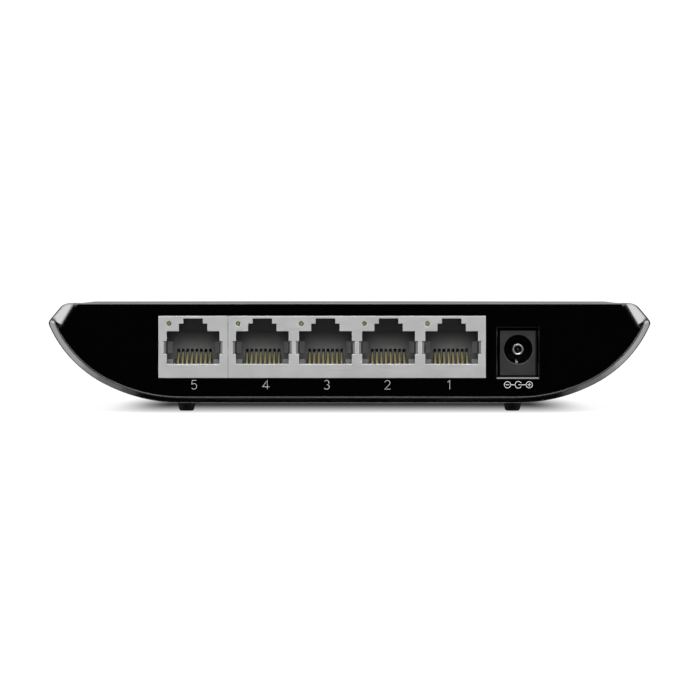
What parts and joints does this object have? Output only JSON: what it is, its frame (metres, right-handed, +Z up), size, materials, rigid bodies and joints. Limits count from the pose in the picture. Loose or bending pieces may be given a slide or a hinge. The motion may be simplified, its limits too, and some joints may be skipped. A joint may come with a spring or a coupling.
{
  "type": "desktop network switch",
  "caption": "Low boat-shaped desktop network switch: glossy cover in a satin tray, shielded jacks and a barrel power inlet along one wall.",
  "frame": {"origin": "on the table under the middle of the case", "axes": "+Z up, the wall with the jacks faces -Y, +X is to the right when looking at the jacks"},
  "size_m": [0.1374, 0.088, 0.0243],
  "materials": {
    "cover_plastic": "polished black",
    "tray_plastic": "fine-textured satin black",
    "foot_rubber": "matt black",
    "screw_steel": "zinc-plated",
    "shield_steel": "matt nickel-plated sheet",
    "jack_plastic": "moulded dark grey",
    "contact_gold": "gold-plated wire",
    "light_pipe": "clear acrylic lit green",
    "power_jack_plastic": "moulded near-black",
    "power_pin_metal": "polished nickel plate",
    "spring_metal": "nickel-plated spring bronze",
    "board_laminate": "green solder mask",
    "chip_epoxy": "moulded black epoxy",
    "pad_silicone": "soft grey-blue",
    "sink_aluminium": "bead-blasted",
    "crystal_steel": "drawn can",
    "choke_ferrite": "ferrite with enamelled copper",
    "capacitor_aluminium": "drawn can with a printed mark",
    "ceramic": "ceramic chips",
    "lamp_white": "lamp packages"
  },
  "bodies": {
    "case": {"bottom_tray": "tray_plastic", "top_cover": "cover_plastic", "foot_rear_left": "foot_rubber", "foot_rear_right": "foot_rubber", "foot_front_left": "foot_rubber", "foot_front_right": "foot_rubber", "board_screws": "screw_steel", "case_screws": "screw_steel", "single_jack_shield": "shield_steel", "single_jack_housing": "jack_plastic", "four_port_jack_shield": "shield_steel", "four_port_jack_housing": "jack_plastic", "port_5_contact_tails": "contact_gold", "port_5_light_pipe": "light_pipe", "port_4_contact_tails": "contact_gold", "port_4_light_pipe": "light_pipe", "port_3_contact_tails": "contact_gold", "port_3_light_pipe": "light_pipe", "port_2_contact_tails": "contact_gold", "port_2_light_pipe": "light_pipe", "port_1_contact_tails": "contact_gold", "port_1_light_pipe": "light_pipe", "power_jack_housing": "power_jack_plastic", "power_jack_pin": "power_pin_metal", "power_jack_spring_lug": "spring_metal", "circuit_board": "board_laminate", "switch_chip": "chip_epoxy", "thermal_pad": "pad_silicone", "heat_sink": "sink_aluminium", "transformer_1": "chip_epoxy", "transformer_2": "chip_epoxy", "transformer_3": "chip_epoxy", "transformer_4": "chip_epoxy", "transformer_5": "chip_epoxy", "memory_chip": "chip_epoxy", "voltage_regulator": "chip_epoxy", "crystal": "crystal_steel", "choke": "choke_ferrite", "smoothing_capacitors": "capacitor_aluminium", "protection_diode": "chip_epoxy", "small_parts": "ceramic", "port_lamps": "lamp_white", "power_lamp": "lamp_white", "power_light_pipe": "light_pipe"},
    "port_5_springs": {"port_5_contact_springs": "contact_gold"},
    "port_4_springs": {"port_4_contact_springs": "contact_gold"},
    "port_3_springs": {"port_3_contact_springs": "contact_gold"},
    "port_2_springs": {"port_2_contact_springs": "contact_gold"},
    "port_1_springs": {"port_1_contact_springs": "contact_gold"},
    "power_spring": {"power_jack_spring": "spring_metal"}
  },
  "joints": [
    {"name": "port_5_contact_flex", "type": "hinge", "parent": "case", "child": "port_5_springs", "pos_m": [-0.03462, -0.0417, 0.00965], "axis": [-1, 0, 0], "range_deg": [0, 8], "stiffness_Nm_per_rad": 0.3},
    {"name": "port_4_contact_flex", "type": "hinge", "parent": "case", "child": "port_4_springs", "pos_m": [-0.01929, -0.0417, 0.00965], "axis": [-1, 0, 0], "range_deg": [0, 8], "stiffness_Nm_per_rad": 0.3},
    {"name": "port_3_contact_flex", "type": "hinge", "parent": "case", "child": "port_3_springs", "pos_m": [-0.00532, -0.0417, 0.00965], "axis": [-1, 0, 0], "range_deg": [0, 8], "stiffness_Nm_per_rad": 0.3},
    {"name": "port_2_contact_flex", "type": "hinge", "parent": "case", "child": "port_2_springs", "pos_m": [0.00864, -0.0417, 0.00965], "axis": [-1, 0, 0], "range_deg": [0, 8], "stiffness_Nm_per_rad": 0.3},
    {"name": "port_1_contact_flex", "type": "hinge", "parent": "case", "child": "port_1_springs", "pos_m": [0.02261, -0.0417, 0.00965], "axis": [-1, 0, 0], "range_deg": [0, 8], "stiffness_Nm_per_rad": 0.3},
    {"name": "power_contact_flex", "type": "hinge", "parent": "case", "child": "power_spring", "pos_m": [0.0371, -0.0334, 0.00992], "axis": [1, 0, 0], "range_deg": [0, 5], "stiffness_Nm_per_rad": 0.1}
  ]
}
